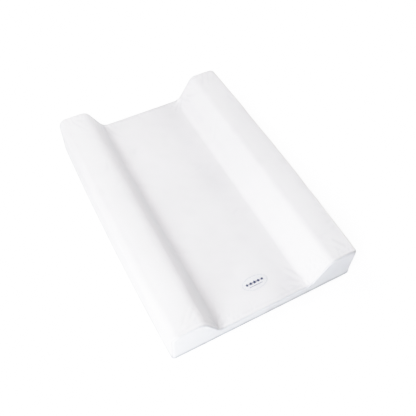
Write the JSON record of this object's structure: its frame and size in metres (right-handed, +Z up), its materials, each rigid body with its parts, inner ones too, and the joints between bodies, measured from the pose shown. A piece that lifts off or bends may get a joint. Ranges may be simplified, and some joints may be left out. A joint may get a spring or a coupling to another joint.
{
  "type": "changing pad",
  "caption": "White contoured baby changing pad with two raised side bolsters, a flat lying trough, a sewn wipe-clean cover with an oval label, and a zip underneath.",
  "frame": {"origin": "centre of the pad's underside, on the plane it rests on", "axes": "+Z up, +Y along the pad towards the head end, +X across the pad to the right of a person standing at the foot end"},
  "size_m": [0.492, 0.7, 0.11],
  "materials": {
    "foam": "open-cell polyurethane foam, cream",
    "cover": "satin wipe-clean coated fabric, white, fine leather grain",
    "cover_end": "satin wipe-clean coated fabric, white, fine leather grain",
    "cover_base": "matt coated fabric, white, coarser grain",
    "thread": "white polyester thread",
    "label": "white satin label",
    "label_print": "navy print",
    "zip_tape": "white woven polyester tape",
    "zip_teeth": "white nylon",
    "zip_metal": "nickel-plated zinc"
  },
  "bodies": {
    "pad": {"foam_base": "foam", "bolster_foam_left": "foam", "bolster_foam_right": "foam", "cover_top": "cover", "end_panel_foot": "cover_end", "end_panel_head": "cover_end", "base_panel_left": "cover_base", "base_panel_right": "cover_base", "seam_thread_foot": "thread", "seam_thread_head": "thread", "base_seam_thread_left": "thread", "base_seam_thread_right": "thread", "label_patch": "label", "label_stitching": "thread", "label_motif": "label_print", "zip_tape_left": "zip_tape", "zip_tape_right": "zip_tape", "zip_teeth_left": "zip_teeth", "zip_teeth_right": "zip_teeth", "zip_topstitch_left": "thread", "zip_topstitch_right": "thread", "zip_top_stops": "zip_metal", "zip_bottom_stop": "zip_metal"},
    "zip_slider": {"zip_slider": "zip_metal"},
    "zip_pull": {"zip_pull": "zip_metal"}
  },
  "joints": [
    {"name": "zip_slide", "type": "slide", "parent": "pad", "child": "zip_slider", "axis": [0, -1, 0], "range_m": [0, 0.575]},
    {"name": "pull_flip", "type": "hinge", "parent": "zip_slider", "child": "zip_pull", "pos_m": [0, 0.291, 0.0025], "axis": [1, 0, 0], "range_deg": [0, 175]}
  ]
}
